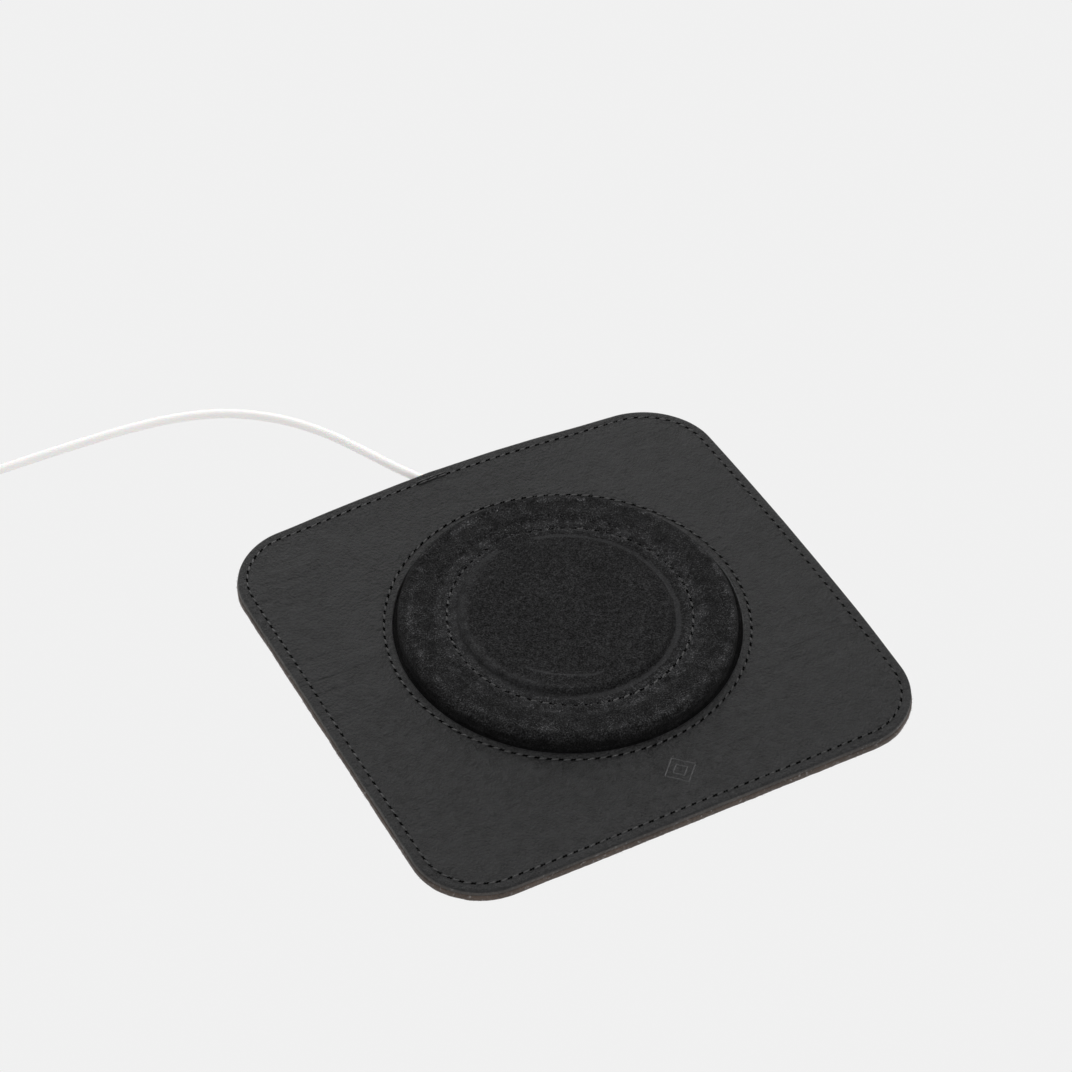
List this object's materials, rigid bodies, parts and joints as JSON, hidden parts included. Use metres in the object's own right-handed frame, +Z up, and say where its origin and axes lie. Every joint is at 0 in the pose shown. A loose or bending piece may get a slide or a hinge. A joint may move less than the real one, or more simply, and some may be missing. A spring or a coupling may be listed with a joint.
{
  "type": "wireless charging pad",
  "caption": "Square black leather desk mat with a raised round suede charging pad over a magnetic charger, and a thin white cable with a USB plug leaving at the back.",
  "frame": {"origin": "middle of the mat's underside, on the surface it lies on", "axes": "+Z up through the mat and pad; +Y towards the back edge, where the cable leaves; +X to the right, seen from the front"},
  "size_m": [0.2712, 0.221, 0.0089],
  "materials": {
    "leather_black": "satin full-grain leather, black",
    "leather_raw": "raw flesh side, dark brown edge",
    "suede_black": "black suede, matt nap",
    "felt_grey": "pressed felt",
    "thread_black": "twisted polyester thread",
    "tape": "double-sided tape",
    "aluminium": "satin anodised",
    "plastic_white": "white",
    "plastic_frame": "moulded, matt",
    "steel": "plain",
    "magnet": "nickel plated",
    "copper": "bare copper",
    "ferrite": "matt, dark grey",
    "board_green": "solder mask",
    "component_black": "moulded epoxy",
    "component_grey": "pressed ferrite",
    "component_tan": "ceramic",
    "wire_red": "PVC",
    "cable_white": "off-white, smooth and slightly soft",
    "strap_black": "hook-and-loop strap",
    "plug_metal": "drawn stainless shell",
    "gold": "gold plated"
  },
  "bodies": {
    "root": {"base_panel": "leather_raw", "top_panel": "leather_black", "suede_cover": "suede_black", "filler_ring": "felt_grey", "perimeter_stitching": "thread_black", "opening_stitching": "thread_black", "pocket_stitching": "thread_black", "exit_bar_tack": "thread_black", "adhesive_disc": "tape", "puck_shell": "aluminium", "puck_face": "plastic_white", "inner_frame": "plastic_frame", "magnet_shunt": "steel", "magnet_ring": "magnet", "nfc_antenna": "copper", "charging_coil": "copper", "ferrite_shield": "ferrite", "circuit_board": "board_green", "controller_chip": "component_black", "power_inductor": "component_grey", "capacitors": "component_tan", "bridge_transistors": "component_black", "lead_wires": "wire_red", "puck_strain_relief": "cable_white", "cable_inner_run": "cable_white", "cable_run": "cable_white", "cable_coil": "cable_white", "cable_tie": "strap_black", "cable_tail": "cable_white", "plug_strain_relief": "cable_white", "plug_housing": "plastic_white", "plug_board": "board_green", "plug_insulator": "component_black", "plug_contacts": "gold", "plug_shell": "plug_metal"}
  },
  "joints": []
}
